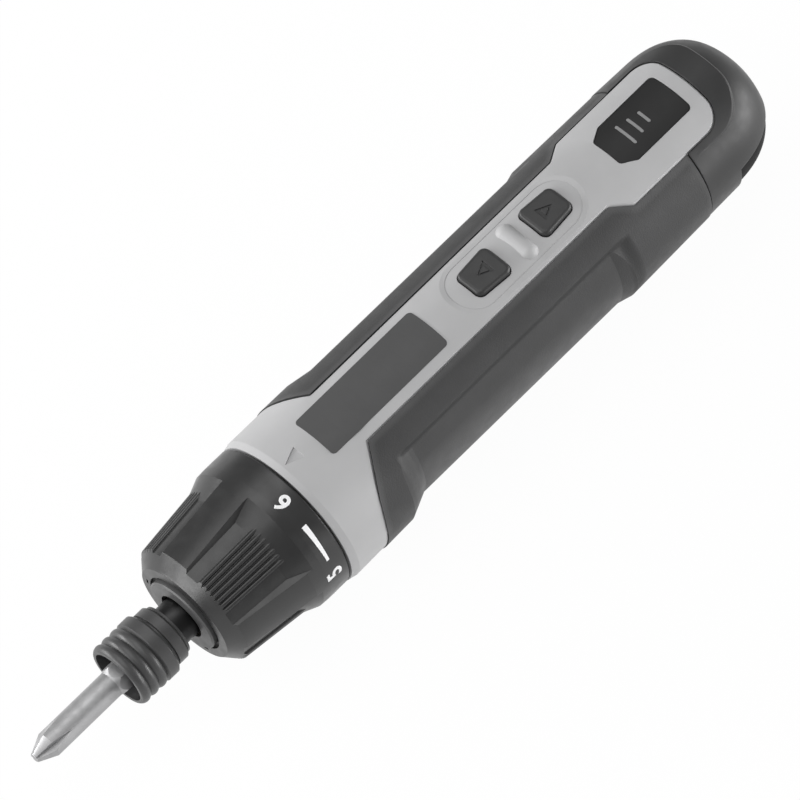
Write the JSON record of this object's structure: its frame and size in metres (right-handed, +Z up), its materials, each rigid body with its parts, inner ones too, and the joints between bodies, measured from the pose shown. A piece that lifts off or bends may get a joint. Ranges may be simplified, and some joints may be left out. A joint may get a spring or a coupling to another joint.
{
  "type": "electric screwdriver",
  "caption": "Straight cordless electric screwdriver with a quick-release bit chuck, numbered torque collar, two push buttons, charge gauge and rubber grip.",
  "frame": {"origin": "on the tool axis at the mouth of the spindle's hex socket", "axes": "+X along the tool axis towards the tail, +Z up through the button panel, -Y the left flank"},
  "size_m": [0.2156, 0.0388, 0.0402],
  "materials": {
    "bit_steel": "satin steel",
    "sleeve_steel": "black oxide",
    "spindle_steel": "turned steel",
    "magnet": "plated",
    "collar_plastic": "fine spark texture",
    "nose_plastic": "satin",
    "gear_case_plastic": "moulded",
    "bush_bronze": "sintered",
    "ring_steel": "sintered",
    "grey_plastic": "fine spark texture",
    "grip_rubber": "soft touch",
    "tail_plastic": "satin",
    "port_rubber": "matt",
    "button_plastic": "satin",
    "window_plastic": "smoked",
    "light_bar_plastic": "diffuse",
    "cell_wrap": "shrink sleeve over a steel can, weighed as a lithium cell",
    "contact_metal": "nickel",
    "board_laminate": "green mask",
    "switch_plastic": "moulded"
  },
  "bodies": {
    "root": {"nose_plate": "nose_plastic", "gear_case": "gear_case_plastic", "front_bush": "bush_bronze", "clutch_spring": "spindle_steel", "clutch_washer": "spindle_steel", "clutch_pins": "spindle_steel", "ring_gear": "ring_steel", "motor_plate": "spindle_steel", "motor_screws": "spindle_steel", "motor_can": "magnet", "motor_end_bell": "gear_case_plastic", "top_cover": "grey_plastic", "gauge_window": "window_plastic", "gauge_light_bars": "light_bar_plastic", "grip": "grip_rubber", "handle_shell": "gear_case_plastic", "cover_screws": "spindle_steel", "tail_cap": "tail_plastic", "usb_socket": "contact_metal", "tail_screws": "spindle_steel", "battery_cell": "cell_wrap", "battery_tabs": "contact_metal", "control_board": "board_laminate", "tact_switches": "switch_plastic", "gauge_lights": "light_bar_plastic"},
    "collar": {"torque_collar": "collar_plastic"},
    "nut": {"clutch_nut": "bush_bronze"},
    "spindle": {"spindle": "sleeve_steel", "bit_magnet": "magnet", "detent_ball": "spindle_steel", "nose_clip": "sleeve_steel", "sleeve_stop_ring": "sleeve_steel", "output_carrier": "spindle_steel", "chuck_spring": "spindle_steel"},
    "sleeve": {"chuck_sleeve": "sleeve_steel"},
    "bit": {"screwdriver_bit": "bit_steel"},
    "stage_carrier": {"stage_carrier": "spindle_steel"},
    "rotor": {"motor_shaft": "spindle_steel", "motor_pinion": "bush_bronze", "armature": "magnet"},
    "forward_button": {"forward_button": "button_plastic", "forward_plunger": "switch_plastic"},
    "reverse_button": {"reverse_button": "button_plastic", "reverse_plunger": "switch_plastic"},
    "port_cover": {"port_cover": "port_rubber"},
    "output_planet_1": {"output_planet_1": "spindle_steel"},
    "input_planet_1": {"input_planet_1": "spindle_steel"},
    "output_planet_2": {"output_planet_2": "spindle_steel"},
    "input_planet_2": {"input_planet_2": "spindle_steel"},
    "output_planet_3": {"output_planet_3": "spindle_steel"},
    "input_planet_3": {"input_planet_3": "spindle_steel"}
  },
  "joints": [
    {"name": "spindle_spin", "type": "hinge", "parent": "root", "child": "spindle", "pos_m": [0, 0, 0], "axis": [1, 0, 0], "continuous": true},
    {"name": "sleeve_pull", "type": "slide", "parent": "spindle", "child": "sleeve", "axis": [-1, 0, 0], "range_m": [0, 0.0024], "stiffness_N_per_m": 1500, "deforming": ["chuck_spring"]},
    {"name": "bit_pull", "type": "slide", "parent": "spindle", "child": "bit", "axis": [-1, 0, 0], "range_m": [0, 0.026]},
    {"name": "collar_turn", "type": "hinge", "parent": "root", "child": "collar", "pos_m": [0.03, 0, 0], "axis": [-1, 0, 0], "range_deg": [0, 337]},
    {"name": "nut_travel", "type": "slide", "parent": "collar", "child": "nut", "axis": [-1, 0, 0], "range_m": [0, 0.00281], "deforming": ["clutch_spring"]},
    {"name": "stage_carrier_spin", "type": "hinge", "parent": "root", "child": "stage_carrier", "pos_m": [0.05, 0, 0], "axis": [1, 0, 0], "continuous": true},
    {"name": "rotor_spin", "type": "hinge", "parent": "root", "child": "rotor", "pos_m": [0.07, 0, 0], "axis": [1, 0, 0], "continuous": true},
    {"name": "forward_press", "type": "slide", "parent": "root", "child": "forward_button", "axis": [0, 0, -1], "range_m": [0, 0.0006], "stiffness_N_per_m": 2500},
    {"name": "reverse_press", "type": "slide", "parent": "root", "child": "reverse_button", "axis": [0, 0, -1], "range_m": [0, 0.0006], "stiffness_N_per_m": 2500},
    {"name": "port_open", "type": "hinge", "parent": "root", "child": "port_cover", "pos_m": [0.1724, 0, -0.01457], "axis": [0, 1, 0], "range_deg": [0, 85]},
    {"name": "output_planet_1_spin", "type": "hinge", "parent": "spindle", "child": "output_planet_1", "pos_m": [0.046, 0, 0.0075], "axis": [1, 0, 0], "continuous": true},
    {"name": "input_planet_1_spin", "type": "hinge", "parent": "stage_carrier", "child": "input_planet_1", "pos_m": [0.055, 0, 0.0075], "axis": [1, 0, 0], "continuous": true},
    {"name": "output_planet_2_spin", "type": "hinge", "parent": "spindle", "child": "output_planet_2", "pos_m": [0.046, -0.0065, -0.00375], "axis": [1, 0, 0], "continuous": true},
    {"name": "input_planet_2_spin", "type": "hinge", "parent": "stage_carrier", "child": "input_planet_2", "pos_m": [0.055, -0.0065, -0.00375], "axis": [1, 0, 0], "continuous": true},
    {"name": "output_planet_3_spin", "type": "hinge", "parent": "spindle", "child": "output_planet_3", "pos_m": [0.046, 0.0065, -0.00375], "axis": [1, 0, 0], "continuous": true},
    {"name": "input_planet_3_spin", "type": "hinge", "parent": "stage_carrier", "child": "input_planet_3", "pos_m": [0.055, 0.0065, -0.00375], "axis": [1, 0, 0], "continuous": true}
  ],
  "couplings": [
    {"joint": "nut_travel", "follows": "collar_turn", "m_per_rad": 0.00047746},
    {"joint": "stage_carrier_spin", "follows": "rotor_spin", "ratio": 0.2},
    {"joint": "spindle_spin", "follows": "rotor_spin", "ratio": 0.04},
    {"joint": "output_planet_1_spin", "follows": "rotor_spin", "ratio": -0.10667},
    {"joint": "input_planet_1_spin", "follows": "rotor_spin", "ratio": -0.53333},
    {"joint": "output_planet_2_spin", "follows": "rotor_spin", "ratio": -0.10667},
    {"joint": "input_planet_2_spin", "follows": "rotor_spin", "ratio": -0.53333},
    {"joint": "output_planet_3_spin", "follows": "rotor_spin", "ratio": -0.10667},
    {"joint": "input_planet_3_spin", "follows": "rotor_spin", "ratio": -0.53333}
  ]
}
